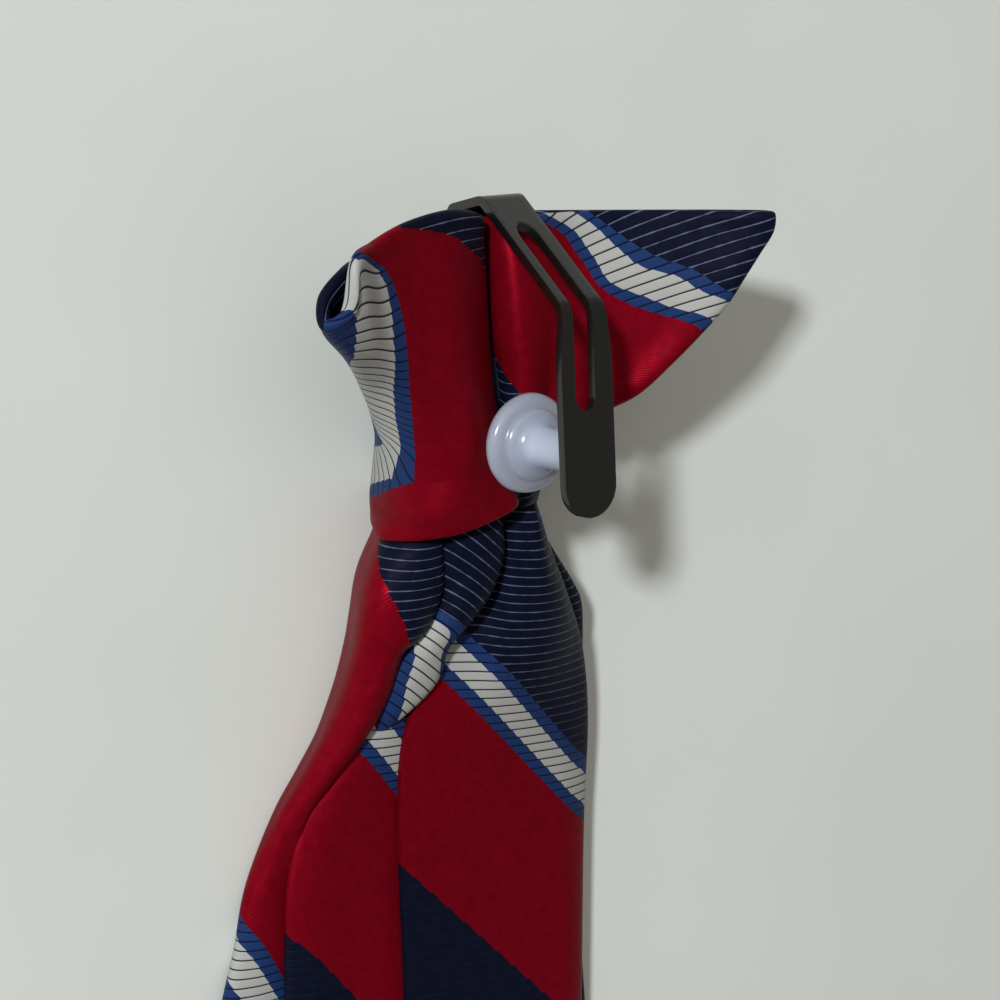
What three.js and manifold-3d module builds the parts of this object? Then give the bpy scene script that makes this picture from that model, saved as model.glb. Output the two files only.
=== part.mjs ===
// A clip-on tie lying on its front: X is across it, Y runs up to the knot, Z leaves its back.
// Lengths are millimetres. "Down" is a distance below the top bend of the clip.
import * as THREE from "three";
import { mergeVertices } from "three/addons/utils/BufferGeometryUtils.js";
import Module from "manifold-3d";

// Whole tie
const tieLength = 406;
const clothWall = 1;
const tipWidth = 4.4;
const pieceGap = 0.3;
const layerGap = 0.35;

// Knot: the wrap is one cloth sleeve whose edges meet in a crease at its back
const knotDown = 3;
const knotHeight = 34.7;
const knotWidth = 18.8;
const knotDepth = 19;
const knotCentre = 1;
const wrapWall = 1.5;
const creaseGap = 0.8;
const leftEar = 28;
const rightEar = 31.5;
const earLift = 26.5;
const leftEarRadius = 2.5;
const rightEarRadius = 1.7;
const leftSag = 8;
const leftSagCurve = 0.9;
const rightSag = 0.7;
const rightSagCurve = 1.4;
const frontDrop = 1.4;
const lipWidth = 1.6;
const lipDrop = 0.4;
const coreWall = 1.5;
const coreRadius = 3.4;
const coreDrop = 7.6;
const coreClearance = 1.7;

// Clip: a spring strip hooked over the top of the knot, and the stud under its plate
const clipDrop = 32;
const clipThick = 1.3;
const plateWidth = 6.6;
const strapWidth = 5.3;
const clipCentre = 0.3;
const plateHeight = 33.6;
const legLength = 22;
const slotWidth = 2.2;
const slotStart = 3.4;
const slotEnd = 21;
const studWidth = 11;
const studDown = 25.9;
const studFace = 22.6;

// Blade: the wide front end, cupped round the tail below the knot
const bladeWidth = 72;
const bladeNeck = 28;
const cupRadius = 7;
const neckCentre = 1.1;
const inKnot = 3.4;
const neckLength = 72;

// Tail: the narrow end behind the blade, gathered into the knot
const tailWidth = 41.6;
const tailNeck = 9;
const tailLength = 330;
const tailCentre = 2.7;
const tailSeam = -3.6;
const tailLap = 5;
const tailPuff = 8.4;
const pleatDepth = 1.6;

// Rows of a table as objects with the named columns
function table(columns, rows) {
  return rows.map((row) => Object.fromEntries(columns.map((column, i) => [column, row[i]])));
}

// Sections of the knot, bottom to top. up is a share of knotHeight; left and right are shares of the
// way from the knot's side out to each ear; lift is a share of the way from the middle of the knot up
// to earLift; front is a share of half of knotWidth; back and crown are shares of knotDepth.
const knotRows = table(
  ["up", "left", "right", "lift", "front", "back", "crown"],
  [
    [0.000, 0.00, 0.00, 0.00, 0.50, 0.960, 0.92],
    [0.035, 0.01, 0.01, 0.00, 0.52, 0.975, 0.94],
    [0.120, 0.00, 0.01, 0.02, 0.52, 0.985, 0.96],
    [0.220, 0.00, 0.03, 0.08, 0.53, 0.990, 0.97],
    [0.330, 0.05, 0.13, 0.30, 0.56, 1.000, 0.98],
    [0.430, 0.17, 0.27, 0.52, 0.62, 1.000, 1.00],
    [0.530, 0.36, 0.43, 0.70, 0.70, 1.000, 1.04],
    [0.630, 0.57, 0.60, 0.83, 0.79, 0.990, 1.08],
    [0.720, 0.75, 0.73, 0.92, 0.86, 0.980, 1.11],
    [0.800, 0.88, 0.81, 0.97, 0.91, 0.965, 1.12],
    [0.880, 0.96, 0.90, 1.00, 0.94, 0.945, 1.11],
    [0.950, 0.97, 0.97, 1.01, 0.93, 0.915, 1.07],
    [1.000, 0.94, 1.00, 1.01, 0.92, 0.890, 1.03],
  ],
);

// Sections of the two ends where they leave the knot. at is a share of neckLength; width is a share
// of the way from bladeNeck to bladeWidth; left and right are shares of the way from the tail's neck
// to its full sides; turnLeft and turnRight are the blade's wings in degrees and round is a share of
// cupRadius; rise is a share of wrapWall that the front lies above the floor; puff is a share of
// tailPuff and pleat a share of pleatDepth.
const neckRows = table(
  ["at", "width", "left", "right", "turnLeft", "turnRight", "round", "rise", "puff", "pleat"],
  [
    [0.000, 0.000, 0.00, 0.00, 98, 93, 0.70, 1.80, 0.44, 0.0],
    [0.050, 0.005, 0.00, 0.00, 98, 92, 0.72, 1.80, 0.50, 0.3],
    [0.100, 0.110, 0.05, 0.28, 100, 90, 0.90, 0.70, 1.00, 0.9],
    [0.170, 0.210, 0.09, 0.56, 98, 80, 0.85, 0.20, 0.92, 1.0],
    [0.250, 0.275, 0.15, 0.79, 94, 52, 0.70, 0.00, 0.70, 0.9],
    [0.350, 0.340, 0.30, 0.95, 90, 30, 0.60, 0.00, 0.44, 0.6],
    [0.460, 0.430, 0.58, 1.00, 78, 10, 0.50, 0.00, 0.24, 0.3],
    [0.600, 0.550, 0.93, 1.00, 42, 0, 0.43, 0.00, 0.10, 0.0],
    [0.780, 0.630, 1.00, 1.00, 18, 0, 0.43, 0.00, 0.03, 0.0],
    [1.000, 0.670, 1.00, 1.00, 6, 0, 0.43, 0.00, 0.00, 0.0],
  ],
);

// The flat run to the shoulders of each point, and the point itself, as shares of their lengths
const flatRows = table(["at", "width"], [[0.34, 0.78], [0.68, 0.89], [1, 1]]);
const pointRows = [0.25, 0.5, 0.75, 1];

// Furrows of the tail's gathered cloth, as shares of its width
const pleatPlaces = table(["at", "wide"], [[0.32, 0.10], [0.63, 0.09]]);

const mix = THREE.MathUtils.lerp;
const radians = THREE.MathUtils.degToRad;
const knotBottom = knotDown + knotHeight;
const neckTop = knotBottom - inKnot;
const layerStep = clothWall + layerGap;
const coreBack = knotDepth - wrapWall - coreClearance;

const wasm = await Module();
wasm.setup();

function material(colour, roughness, metalness) {
  return new THREE.MeshStandardMaterial({ color: colour, roughness, metalness });
}

function namedMesh(name, geometry, surface) {
  const mesh = new THREE.Mesh(geometry, surface);
  mesh.name = name;
  return mesh;
}

// Points from a to b, both ends in
function run(a, b, steps) {
  return Array.from({ length: steps + 1 }, (_, i) => a.clone().lerp(b, i / steps));
}

// Points round a centre from one angle to another, both ends in
function arc(x, y, radius, from, to, steps) {
  return Array.from({ length: steps + 1 }, (_, i) => {
    const angle = mix(from, to, i / steps);
    return new THREE.Vector2(x + radius * Math.cos(angle), y + radius * Math.sin(angle));
  });
}

// The two faces of a strip of the given wall whose middle line is path
function stripFaces(path, wall) {
  const across = path.map((_, i) => {
    const along = path[Math.min(i + 1, path.length - 1)].clone().sub(path[Math.max(i - 1, 0)]);
    return new THREE.Vector2(along.y, -along.x).setLength(wall / 2);
  });
  return {
    outer: path.map((point, i) => point.clone().add(across[i])),
    inner: path.map((point, i) => point.clone().sub(across[i])),
  };
}

// A closed cloth sleeve through levels that hold an outer and an inner row of points in space
function sleeveGeometry(levels) {
  const count = levels[0].outer.length;
  const ring = 2 * count;
  const last = (levels.length - 1) * ring;
  const points = levels.flatMap((level) => [...level.outer, ...level.inner.slice().reverse()]);
  const triangles = [];
  const quad = (a, b, c, d) => triangles.push(a, b, c, a, c, d);
  for (let row = 0; row < last; row += ring) {
    for (let i = 0; i < ring; i += 1) {
      const next = (i + 1) % ring;
      quad(row + i, row + next, row + ring + next, row + ring + i);
    }
  }
  for (let i = 0; i + 1 < count; i += 1) {
    const facing = ring - 1 - i;
    quad(i, facing, facing - 1, i + 1);
    quad(last + i, last + i + 1, last + facing - 1, last + facing);
  }
  const geometry = new THREE.BufferGeometry().setFromPoints(points);
  geometry.setIndex(triangles);
  return facingOut(geometry);
}

// Turns every triangle round if the closed mesh has come out inside out
function facingOut(geometry) {
  const at = geometry.getAttribute("position");
  const index = Array.from(geometry.getIndex().array);
  const corner = [new THREE.Vector3(), new THREE.Vector3(), new THREE.Vector3()];
  let volume = 0;
  for (let i = 0; i < index.length; i += 3) {
    corner.forEach((point, k) => point.fromBufferAttribute(at, index[i + k]));
    volume += corner[0].dot(corner[1].clone().cross(corner[2]));
  }
  if (volume < 0) geometry.setIndex(index.reverse());
  geometry.computeVertexNormals();
  return geometry;
}

function bareCopy(source) {
  const bare = source.clone();
  bare.deleteAttribute("normal");
  bare.deleteAttribute("uv");
  return bare;
}

function toManifold(source) {
  const merged = mergeVertices(bareCopy(source), 1e-4);
  return new wasm.Manifold(new wasm.Mesh({
    numProp: 3,
    vertProperties: Float32Array.from(merged.getAttribute("position").array),
    triVerts: Uint32Array.from(merged.getIndex().array),
  }));
}

function fromManifold(solid) {
  const mesh = solid.getMesh();
  const geometry = new THREE.BufferGeometry();
  geometry.setAttribute("position", new THREE.BufferAttribute(mesh.vertProperties, 3));
  geometry.setIndex(new THREE.BufferAttribute(mesh.triVerts, 1));
  geometry.computeVertexNormals();
  return geometry;
}

// One side of the wrap from its crease round the ear to the front, in x away from the knot's centre
function wrapSide(row, reach, ear, radius) {
  const half = knotWidth / 2;
  const floor = wrapWall / 2;
  const middle = knotDepth / 2;
  const opened = Math.min(1, 1.6 * ear);
  const round = mix(0.5 * middle, radius, opened);
  const side = mix(half, reach, ear) - floor;
  const lift = mix(middle, earLift, row.lift * Math.min(1, 3 * ear));
  const back = knotDepth * row.back - floor;
  return [
    [creaseGap / 2, back - lipDrop],
    [creaseGap / 2 + lipWidth, back],
    [0.5 * side, knotDepth * row.crown - floor],
    [side - mix(0.35, 0.55, opened) * round, lift + round],
    [side, lift],
    [side - mix(0.3, 0.75, opened) * round, lift - round],
    [half * row.front, mix(0.08, 0.2, opened) * knotDepth + floor],
    [0.6 * half * row.front, floor],
  ];
}

function wrapPath(row) {
  const left = wrapSide(row, leftEar + knotCentre, row.left, leftEarRadius);
  const right = wrapSide(row, rightEar - knotCentre, row.right, rightEarRadius).reverse();
  const stops = [...left.map(([x, z]) => [-x, z]), ...right];
  const points = stops.map(([x, z]) => new THREE.Vector3(knotCentre + x, z, 0));
  const curve = new THREE.CatmullRomCurve3(points, false, "centripetal");
  return curve.getPoints(52).map((point) => new THREE.Vector2(point.x, Math.max(point.y, wrapWall / 2)));
}

function knotWrap() {
  const levels = knotRows.map((row) => {
    const inSpace = (point) => {
      const out = (point.x - knotCentre) / rightEar;
      const ear = out < 0 ? leftSag * (-out) ** leftSagCurve : rightSag * out ** rightSagCurve;
      const sag = ear + frontDrop * Math.max(0, 1 - point.y / knotDepth);
      return new THREE.Vector3(point.x, -knotBottom + knotHeight * row.up - sag * row.up ** 2, point.y);
    };
    const faces = stripFaces(wrapPath(row), wrapWall);
    return { outer: faces.outer.map(inSpace), inner: faces.inner.map(inSpace) };
  });
  return namedMesh("knot_wrap", sleeveGeometry(levels), material(0x8f1428, 0.5, 0));
}

// The stiff tube in the knot that the leg of the clip is held in
function knotCore() {
  const half = knotWidth / 2 - wrapWall - coreClearance;
  const outline = (inset) => {
    const left = knotCentre - half + coreRadius;
    const right = knotCentre + half - coreRadius;
    const low = wrapWall + coreClearance + coreRadius;
    const high = coreBack - coreRadius;
    const quarter = Math.PI / 2;
    return [
      ...arc(right, low, coreRadius - inset, -quarter, 0, 4),
      ...arc(right, high, coreRadius - inset, 0, quarter, 4),
      ...arc(left, high, coreRadius - inset, quarter, 2 * quarter, 4),
      ...arc(left, low, coreRadius - inset, 2 * quarter, 3 * quarter, 4),
    ];
  };
  const shape = new THREE.Shape(outline(0));
  shape.holes.push(new THREE.Path(outline(coreWall).reverse()));
  const depth = neckTop - pieceGap - knotDown - coreDrop;
  const geometry = new THREE.ExtrudeGeometry(shape, { depth, bevelEnabled: false });
  geometry.rotateX(Math.PI / 2);
  geometry.translate(0, -(knotDown + coreDrop), 0);
  return namedMesh("knot_core", geometry, material(0x141c33, 0.6, 0));
}

// A path of stops with each inner corner rounded off, as points in the plane of the stops
function roundedPath(stops, radii) {
  const points = [stops[0]];
  for (let i = 1; i + 1 < stops.length; i += 1) {
    const back = stops[i - 1].clone().sub(stops[i]).normalize();
    const ahead = stops[i + 1].clone().sub(stops[i]).normalize();
    const reach = radii[i - 1] / Math.tan(back.angleTo(ahead) / 2);
    const curve = new THREE.QuadraticBezierCurve(
      back.multiplyScalar(reach).add(stops[i]), stops[i], ahead.multiplyScalar(reach).add(stops[i]));
    points.push(...curve.getPoints(5));
  }
  return [...points, stops.at(-1)];
}

function clip() {
  const legHeight = coreBack - coreWall - 2 * pieceGap - clipThick / 2;
  const side = roundedPath([
    new THREE.Vector2(-legLength - 2, legHeight),
    new THREE.Vector2(-2.1, legHeight),
    new THREE.Vector2(-clipThick / 2, mix(legHeight, plateHeight, 0.27)),
    new THREE.Vector2(-0.335 * clipDrop, plateHeight - 1.2),
    new THREE.Vector2(-clipDrop, plateHeight + 0.3),
  ], [0.9, 1.1, 2.2]);
  const faces = stripFaces(side, clipThick);
  const strip = new THREE.ExtrudeGeometry(new THREE.Shape([...faces.outer, ...faces.inner.reverse()]), {
    depth: plateWidth, bevelEnabled: false,
  });
  const across = new THREE.Vector3(1, 0, 0);
  const turned = new THREE.Matrix4().makeBasis(new THREE.Vector3(0, 1, 0), new THREE.Vector3(0, 0, 1), across);
  strip.applyMatrix4(turned);
  strip.translate(clipCentre - plateWidth / 2, 0, 0);

  const front = new THREE.Shape();
  const end = plateWidth / 2;
  front.moveTo(-strapWidth / 2, 1);
  front.lineTo(-strapWidth / 2, -0.3 * clipDrop);
  front.lineTo(-end, -0.5 * clipDrop);
  front.absarc(0, -clipDrop + end, end, Math.PI, 2 * Math.PI, false);
  front.lineTo(end, -0.5 * clipDrop);
  front.lineTo(strapWidth / 2, -0.3 * clipDrop);
  front.lineTo(strapWidth / 2, 1);
  const blank = new THREE.ExtrudeGeometry(front, { depth: 2 * plateHeight, bevelEnabled: false, curveSegments: 14 });
  blank.translate(clipCentre, 0, 0);

  const slot = new THREE.Shape();
  const round = slotWidth / 2;
  slot.absarc(0, -slotStart - round, round, 0, Math.PI, false);
  slot.absarc(0, -slotEnd + round, round, Math.PI, 2 * Math.PI, false);
  const cutter = new THREE.ExtrudeGeometry(slot, { depth: 2 * plateHeight, bevelEnabled: false, curveSegments: 8 });
  cutter.translate(clipCentre, 0, legHeight + 2 * clipThick);
  const solid = toManifold(strip).intersect(toManifold(blank)).subtract(toManifold(cutter));
  return namedMesh("clip", fromManifold(solid), material(0x232424, 0.38, 0.6));
}

// The stud: a flat flange towards the knot and a waisted hub under the plate
function clipStud() {
  const seat = plateHeight - clipThick / 2 - pieceGap - 0.35;
  const height = seat - studFace;
  const flange = studWidth / 2;
  const profile = [
    [0, 0], [0.86, 0], [0.97, 0.03], [1, 0.08], [0.98, 0.14], [0.9, 0.18], [0.72, 0.21], [0.66, 0.26],
    [0.56, 0.31], [0.47, 0.42], [0.44, 0.6], [0.47, 0.85], [0.54, 1], [0, 1],
  ].map(([r, h]) => new THREE.Vector2(r * flange, h * height));
  const geometry = new THREE.LatheGeometry(profile, 20);
  geometry.rotateX(Math.PI / 2);
  geometry.translate(clipCentre, -studDown, studFace);
  return namedMesh("clip_stud", facingOut(mergeVertices(bareCopy(geometry))), material(0xc9ccdc, 0.35, 0));
}

// The middle line of a tie end's section: from under the seam round the left fold, the front and the
// right fold, back to the seam. low, left and right are the heights of the front and the two flaps.
function foldedPath({ sideLeft, sideRight, low, left, right, endLeft, endRight }) {
  const turnLeft = (left - low) / 2;
  const turnRight = (right - low) / 2;
  const quarter = Math.PI / 2;
  const corner = (x, z) => new THREE.Vector2(x, z);
  return [
    ...run(corner(endLeft, left), corner(sideLeft + turnLeft, left), 9).slice(0, -1),
    ...arc(sideLeft + turnLeft, low + turnLeft, turnLeft, quarter, 3 * quarter, 4),
    ...run(corner(sideLeft + turnLeft, low), corner(sideRight - turnRight, low), 14).slice(1, -1),
    ...arc(sideRight - turnRight, low + turnRight, turnRight, -quarter, quarter, 4),
    ...run(corner(sideRight - turnRight, right), corner(endRight, right), 9).slice(1),
  ];
}

// Bends a flat section into a cup: flat in the middle, then a round fold, then a straight wing
function cupped(point, cup) {
  const { radius } = cup;
  const wing = point.x < 0 ? { flat: cup.flatLeft, turn: cup.turnLeft } : { flat: cup.flatRight, turn: cup.turnRight };
  const beyond = Math.abs(point.x) - wing.flat;
  if (beyond <= 0) return point.clone();
  const angle = Math.min(beyond / radius, wing.turn);
  const rest = beyond - angle * radius;
  const depth = radius - point.y;
  const x = wing.flat + depth * Math.sin(angle) + rest * Math.cos(angle);
  const z = radius - depth * Math.cos(angle) + rest * Math.sin(angle);
  return new THREE.Vector2(Math.sign(point.x) * x, z);
}

function tailSides(row) {
  return {
    left: mix(neckCentre - tailNeck / 2, tailCentre - tailWidth / 2, row.left),
    right: mix(neckCentre + tailNeck / 2, tailCentre + tailWidth / 2, row.right),
  };
}

// Rows of one end from the knot to its point: the neck, the flat run and the point
function endRows(length, fullWidth) {
  const shoulder = length - fullWidth / 2;
  const neck = neckRows.map((row) => ({ ...row, down: neckTop + neckLength * row.at, point: 0 }));
  const rest = { left: 1, right: 1, turnLeft: 0, turnRight: 0, round: 1, rise: 0, puff: 0, pleat: 0, point: 0 };
  const flat = flatRows.map((row) => ({
    ...rest, width: row.width, down: neckTop + mix(neckLength, shoulder, row.at),
  }));
  const point = pointRows.map((share) => ({
    ...rest, width: 1, point: share, down: neckTop + shoulder + (share * fullWidth) / 2,
  }));
  return [...neck, ...flat, ...point];
}

function endLevels(rows, pathOf, wall) {
  return rows.map((row) => {
    const { path, shape } = pathOf(row);
    const faces = stripFaces(path, wall);
    const inSpace = (point) => {
      const placed = shape(point);
      return new THREE.Vector3(placed.x, -row.down, placed.y);
    };
    return { outer: faces.outer.map(inSpace), inner: faces.inner.map(inSpace) };
  });
}

function blade() {
  const rows = endRows(tieLength - neckTop, bladeWidth);
  const pathOf = (row) => {
    const sides = tailSides(row);
    const centre = mix(neckCentre, 0, row.left);
    const half = (mix(mix(bladeNeck, bladeWidth, row.width), tipWidth, row.point) - clothWall) / 2;
    const open = pieceGap + 0.4 * half * row.point;
    const low = clothWall / 2;
    const radius = row.round * cupRadius;
    const fold = Math.min(radius - 2 * clothWall - layerGap, (row.puff * tailPuff + layerStep + clothWall) / 2);
    const beside = pieceGap - fold;
    const cup = {
      radius,
      flatLeft: centre - sides.left + beside,
      flatRight: sides.right - centre + beside,
      turnLeft: radians(row.turnLeft),
      turnRight: radians(row.turnRight),
    };
    const path = foldedPath({
      sideLeft: -half, sideRight: half, low, left: low + layerStep, right: low + layerStep,
      endLeft: -open, endRight: open,
    });
    const shape = (point) => cupped(point, cup).add(new THREE.Vector2(centre, row.rise * wrapWall));
    return { path, shape };
  };
  return namedMesh("blade", sleeveGeometry(endLevels(rows, pathOf, clothWall)), material(0x8f1428, 0.5, 0));
}

function pleatFall(share) {
  return pleatPlaces.reduce((sum, pleat) => {
    const away = (share - pleat.at) / pleat.wide;
    return sum + Math.exp(-away * away);
  }, 0);
}

function tail() {
  const rows = endRows(tailLength, tailWidth);
  const pathOf = (row) => {
    const sides = tailSides(row);
    const middle = (sides.left + sides.right) / 2;
    const half = (mix(sides.right - sides.left, tipWidth, row.point) - clothWall) / 2;
    const sideLeft = middle - half;
    const sideRight = middle + half;
    const seam = mix(tailSeam, middle, row.point);
    const lap = (tailLap * (1 - row.point) * (sides.right - sides.left)) / tailWidth;
    const low = 2 * clothWall + layerGap + pieceGap + clothWall / 2 + row.rise * wrapWall;
    const left = low + layerStep + row.puff * tailPuff;
    const right = left + layerStep;
    const path = foldedPath({
      sideLeft, sideRight, low, left, right, endLeft: seam + lap, endRight: seam,
    });
    const shape = (point) => {
      const share = (point.x - sideLeft) / (sideRight - sideLeft);
      const high = THREE.MathUtils.smoothstep(point.y, mix(low, left, 0.4), left);
      return new THREE.Vector2(point.x, point.y - high * row.pleat * pleatDepth * pleatFall(share));
    };
    return { path, shape };
  };
  return namedMesh("tail", sleeveGeometry(endLevels(rows, pathOf, clothWall)), material(0x8f1428, 0.5, 0));
}

// The tie's origin is the middle of its footprint, on the surface that it lies on
const group = new THREE.Group();
group.add(knotWrap(), knotCore(), clip(), clipStud(), blade(), tail());
const bounds = new THREE.Box3().setFromObject(group);
const centre = bounds.getCenter(new THREE.Vector3());
group.position.set(-centre.x, -centre.y, -bounds.min.z);
group.updateMatrixWorld(true);

export default group;
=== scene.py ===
import math

import bmesh
import bpy
import numpy as np
from mathutils import Matrix, Vector


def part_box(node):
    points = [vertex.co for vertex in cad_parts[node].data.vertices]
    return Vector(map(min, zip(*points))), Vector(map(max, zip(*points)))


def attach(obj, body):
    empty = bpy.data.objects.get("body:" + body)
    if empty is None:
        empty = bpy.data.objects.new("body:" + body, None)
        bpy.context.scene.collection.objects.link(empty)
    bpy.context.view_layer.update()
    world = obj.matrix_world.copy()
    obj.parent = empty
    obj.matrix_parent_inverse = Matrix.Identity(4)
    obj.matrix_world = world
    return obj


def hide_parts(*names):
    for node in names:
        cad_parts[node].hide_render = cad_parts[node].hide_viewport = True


# A clip-on tie on its front. Pieces are worked out in millimetres: x across the tie, "down" from the
# clip's top bend towards the points, z up from the floor. The meshes are written in metres.
millimetre = 0.001

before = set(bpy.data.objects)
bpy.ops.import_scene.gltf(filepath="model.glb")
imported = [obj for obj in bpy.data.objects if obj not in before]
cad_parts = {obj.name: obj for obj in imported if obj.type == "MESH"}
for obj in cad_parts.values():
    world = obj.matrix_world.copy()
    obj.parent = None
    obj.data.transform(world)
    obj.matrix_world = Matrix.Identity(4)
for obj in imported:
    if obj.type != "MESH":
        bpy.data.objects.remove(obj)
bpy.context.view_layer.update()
clipLow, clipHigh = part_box("clip")
bladeLow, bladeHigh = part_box("blade")
tailLow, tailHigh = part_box("tail")
studLow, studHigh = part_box("clip_stud")
print("frame loaded")

# User values are in millimetres unless the name says otherwise, and colours are the 0 to 255 of a screen.

tie = {
    "topBend": clipHigh.y / millimetre + 0.1,
    "bladeTip": (clipHigh.y - bladeLow.y) / millimetre,
    "tailTip": (clipHigh.y - tailLow.y) / millimetre,
    "bladeHalf": (bladeHigh.x - bladeLow.x) / 2 / millimetre,
    "tailLeft": tailLow.x / millimetre,
    "tailRight": tailHigh.x / millimetre,
}
cloth = {
    "wall": 0.9, "edge": 0.3, "ribPitch": 1.06, "blueBand": 1.5, "whiteBand": 2.85, "redBand": 18.8,
    "navyBand": 18.0, "twillPitch": 0.42, "twillSlant": 1.3, "bump": 0.09,
    "highlightFadeAt": 74, "highlightFadeOver": 24,
    "redColours": ((106, 3, 16), (138, 8, 30)),
    "navyColours": ((9, 12, 24), (17, 22, 44)),
    # The navy's light rib lines are a painted highlight
    "navyRibHighlight": (120, 132, 166),
    "blueColours": ((30, 51, 96), (10, 15, 30)),
    "whiteColours": ((166, 165, 163), (20, 20, 26)),
}
stripeRepeat = 2 * cloth["blueBand"] + cloth["whiteBand"] + cloth["redBand"] + cloth["navyBand"]
uvPerMillimetre = 0.01


# Surfaces

# A control grid has the shape (rows, stops, channels), and its channels are x, down, z, the place across
# the stripes and the place along the ribs.

def knots(points):
    gaps = np.linalg.norm(np.diff(points[..., :3], axis=0), axis=-1) ** 0.5
    gaps = np.maximum(gaps, 0.05)
    return np.concatenate([np.zeros((1, points.shape[1])), np.cumsum(gaps, axis=0)])


def through(points, places):
    first = 2 * points[:1] - points[1:2]
    last = 2 * points[-1:] - points[-2:-1]
    held = np.concatenate([first, points, last])
    at = knots(held)[..., None]
    rows = []
    for place in places:
        i = min(int(place), len(points) - 2)
        p0, p1, p2, p3 = held[i:i + 4]
        t0, t1, t2, t3 = at[i:i + 4]
        t = t1 + (place - i) * (t2 - t1)
        a1 = (t1 - t) / (t1 - t0) * p0 + (t - t0) / (t1 - t0) * p1
        a2 = (t2 - t) / (t2 - t1) * p1 + (t - t1) / (t2 - t1) * p2
        a3 = (t3 - t) / (t3 - t2) * p2 + (t - t2) / (t3 - t2) * p3
        b1 = (t2 - t) / (t2 - t0) * a1 + (t - t0) / (t2 - t0) * a2
        b2 = (t3 - t) / (t3 - t1) * a2 + (t - t1) / (t3 - t1) * a3
        rows.append((t2 - t) / (t2 - t1) * b1 + (t - t1) / (t2 - t1) * b2)
    return np.array(rows)


def surface(control, rowCount, columnCount):
    control = np.array(control, float)
    across = through(control.transpose(1, 0, 2), np.linspace(0, control.shape[1] - 1, columnCount))
    return through(across.transpose(1, 0, 2), np.linspace(0, control.shape[0] - 1, rowCount))


def inSpace(x, down, z):
    return Vector((x, tie["topBend"] - down, z)) * millimetre


def finished(name, mesh, nodes, surfaceMaterial):
    mesh.normal_update()
    data = bpy.data.meshes.new(name)
    mesh.to_mesh(data)
    mesh.free()
    data.materials.append(surfaceMaterial)
    data.shade_smooth()
    piece = bpy.data.objects.new(name, data)
    bpy.context.scene.collection.objects.link(piece)
    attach(piece, "root")
    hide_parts(*nodes)
    return piece


def walled(piece, thickness, even=False):
    solid = piece.modifiers.new("wall", "SOLIDIFY")
    solid.thickness = thickness * millimetre
    solid.offset = 0
    solid.use_even_offset = even


def rounded(piece, width, segments, degrees):
    edge = piece.modifiers.new("edge", "BEVEL")
    edge.width = width * millimetre
    edge.segments = segments
    edge.limit_method = "ANGLE"
    edge.angle_limit = math.radians(degrees)


def clothPiece(name, grid, nodes, wall):
    rowCount, columnCount = grid.shape[:2]
    mesh = bmesh.new()
    bmesh.ops.create_grid(mesh, x_segments=columnCount - 1, y_segments=rowCount - 1, size=1)
    places = {}
    for vertex in mesh.verts:
        column = round((vertex.co.x + 1) / 2 * (columnCount - 1))
        row = round((vertex.co.y + 1) / 2 * (rowCount - 1))
        places[vertex] = grid[row, column, 3:5]
        vertex.co = inSpace(*grid[row, column, :3])
    layer = mesh.loops.layers.uv.new("cloth")
    for face in mesh.faces:
        for loop in face.loops:
            loop[layer].uv = places[loop.vert] * uvPerMillimetre
    piece = finished(name, mesh, nodes, tieCloth)
    walled(piece, wall)
    rounded(piece, cloth["edge"], 2, 55)
    return piece


# Materials

def newGroup(name, inputs, outputs):
    group = bpy.data.node_groups.new(name, "ShaderNodeTree")
    for socket, kind in inputs:
        group.interface.new_socket(socket, in_out="INPUT", socket_type=kind)
    for socket, kind in outputs:
        group.interface.new_socket(socket, in_out="OUTPUT", socket_type=kind)
    return group, group.nodes.new("NodeGroupInput"), group.nodes.new("NodeGroupOutput")


def mathNode(tree, operation, a, b=None, c=None):
    node = tree.nodes.new("ShaderNodeMath")
    node.operation = operation
    for socket, value in zip(node.inputs, (a, b, c)):
        if value is None:
            continue
        if isinstance(value, (int, float)):
            socket.default_value = value
        else:
            tree.links.new(value, socket)
    return node.outputs[0]


def ramp(tree, value, low, high):
    node = tree.nodes.new("ShaderNodeMapRange")
    node.interpolation_type = "SMOOTHSTEP"
    tree.links.new(value, node.inputs["Value"])
    node.inputs["From Min"].default_value = low
    node.inputs["From Max"].default_value = high
    return node.outputs["Result"]


def mixColour(tree, share, a, b):
    node = tree.nodes.new("ShaderNodeMix")
    node.data_type = "RGBA"
    for socket, value in ((node.inputs[0], share), (node.inputs[6], a), (node.inputs[7], b)):
        if isinstance(value, (tuple, int, float)):
            socket.default_value = value
        else:
            tree.links.new(value, socket)
    return node.outputs[2]


def linear(red, green, blue):
    def one(value):
        share = value / 255
        return share / 12.92 if share <= 0.04045 else ((share + 0.055) / 1.055) ** 2.4
    return (one(red), one(green), one(blue), 1.0)


def speckles(tree, scale, colours):
    # Noise in the piece's own space, and a colour that goes with it
    noise = tree.nodes.new("ShaderNodeTexNoise")
    noise.inputs["Scale"].default_value = scale
    where = tree.nodes.new("ShaderNodeTexCoord")
    tree.links.new(where.outputs["Object"], noise.inputs["Vector"])
    grain = noise.outputs["Fac"]
    return grain, mixColour(tree, grain, linear(*colours[0]), linear(*colours[1]))


def ownSpace(tree):
    where = tree.nodes.new("ShaderNodeTexCoord")
    split = tree.nodes.new("ShaderNodeSeparateXYZ")
    tree.links.new(where.outputs["Object"], split.inputs["Vector"])
    return split.outputs


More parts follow.
